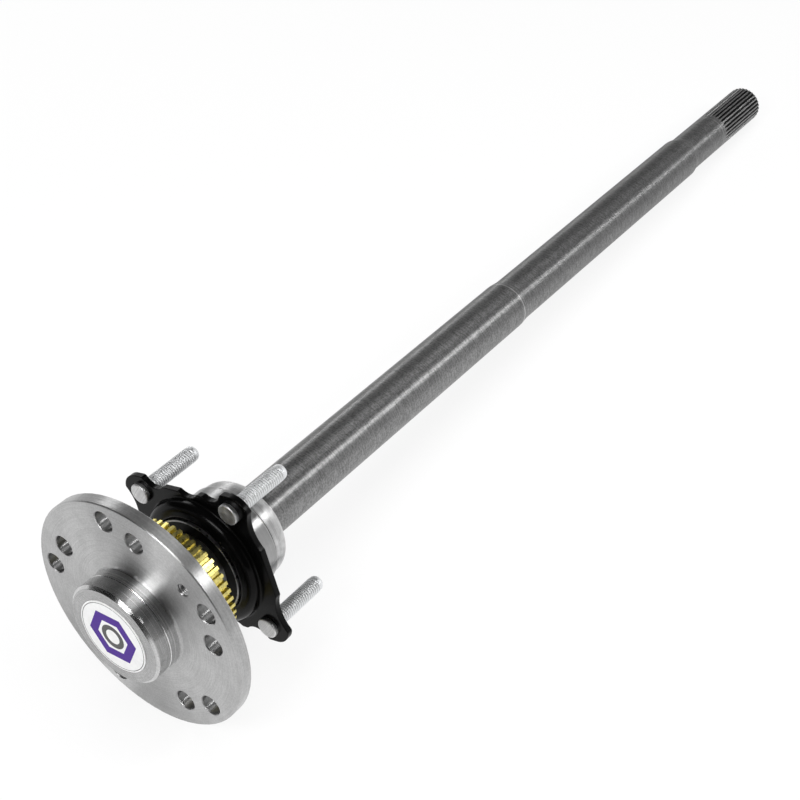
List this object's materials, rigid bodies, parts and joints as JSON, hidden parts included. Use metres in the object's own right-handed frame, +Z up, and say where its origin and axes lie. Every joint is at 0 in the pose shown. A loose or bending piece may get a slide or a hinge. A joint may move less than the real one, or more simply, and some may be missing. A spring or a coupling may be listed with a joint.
{
  "type": "axle shaft",
  "caption": "Flanged rear axle shaft with hub pilot, tone ring, studded retainer plate, seal, bearing, lock ring and splined end; drives and carries a wheel.",
  "frame": {"origin": "centre of the flange's wheel face, on the shaft axis", "axes": "+Z up; +X level, from the flange toward the splined end, above the shaft axis, which dips 4.63 degrees toward that end because the part lies on its flange rim and its splined end; +Y to the side"},
  "size_m": [0.8477, 0.1649, 0.1651],
  "materials": {
    "shaft_steel": "turned",
    "label_film": "satin",
    "tone_ring_zinc": "yellow zinc plate",
    "plate_paint": "gloss",
    "seal_steel": "satin",
    "seal_rubber": "matte",
    "spring_steel": "bright",
    "bearing_steel": "ground",
    "cage_plastic": "moulded",
    "shield_steel": "satin",
    "lock_ring_steel": "satin",
    "stud_zinc": "zinc plate"
  },
  "bodies": {
    "shaft": {"axle_shaft": "shaft_steel", "hub_label": "label_film", "tone_ring": "tone_ring_zinc", "bearing_inner_ring": "bearing_steel", "lock_ring": "lock_ring_steel"},
    "housing_side": {"bearing_outer_ring": "bearing_steel", "bearing_shield": "shield_steel", "seal_case": "seal_steel", "seal_lip": "seal_rubber", "seal_spring": "spring_steel"},
    "ball_set": {"ball_cage": "cage_plastic", "bearing_ball_01": "bearing_steel", "bearing_ball_02": "bearing_steel", "bearing_ball_03": "bearing_steel", "bearing_ball_04": "bearing_steel", "bearing_ball_05": "bearing_steel", "bearing_ball_06": "bearing_steel", "bearing_ball_07": "bearing_steel", "bearing_ball_08": "bearing_steel", "bearing_ball_09": "bearing_steel", "bearing_ball_10": "bearing_steel", "bearing_ball_11": "bearing_steel"},
    "retainer": {"retainer_plate": "plate_paint", "retainer_stud_1": "stud_zinc", "retainer_stud_2": "stud_zinc", "retainer_stud_3": "stud_zinc", "retainer_stud_4": "stud_zinc"}
  },
  "joints": [
    {"name": "bearing_turn", "type": "hinge", "parent": "shaft", "child": "housing_side", "pos_m": [0.07655, 0, -0.0062], "axis": [0.9967, 0, -0.0807], "continuous": true},
    {"name": "ball_set_turn", "type": "hinge", "parent": "shaft", "child": "ball_set", "pos_m": [0.07655, 0, -0.0062], "axis": [0.9967, 0, -0.0807], "continuous": true},
    {"name": "retainer_slide", "type": "slide", "parent": "housing_side", "child": "retainer", "axis": [0.9967, 0, -0.0807], "range_m": [-0.0143, 0]}
  ],
  "couplings": [
    {"joint": "ball_set_turn", "follows": "bearing_turn", "ratio": 0.58897}
  ]
}
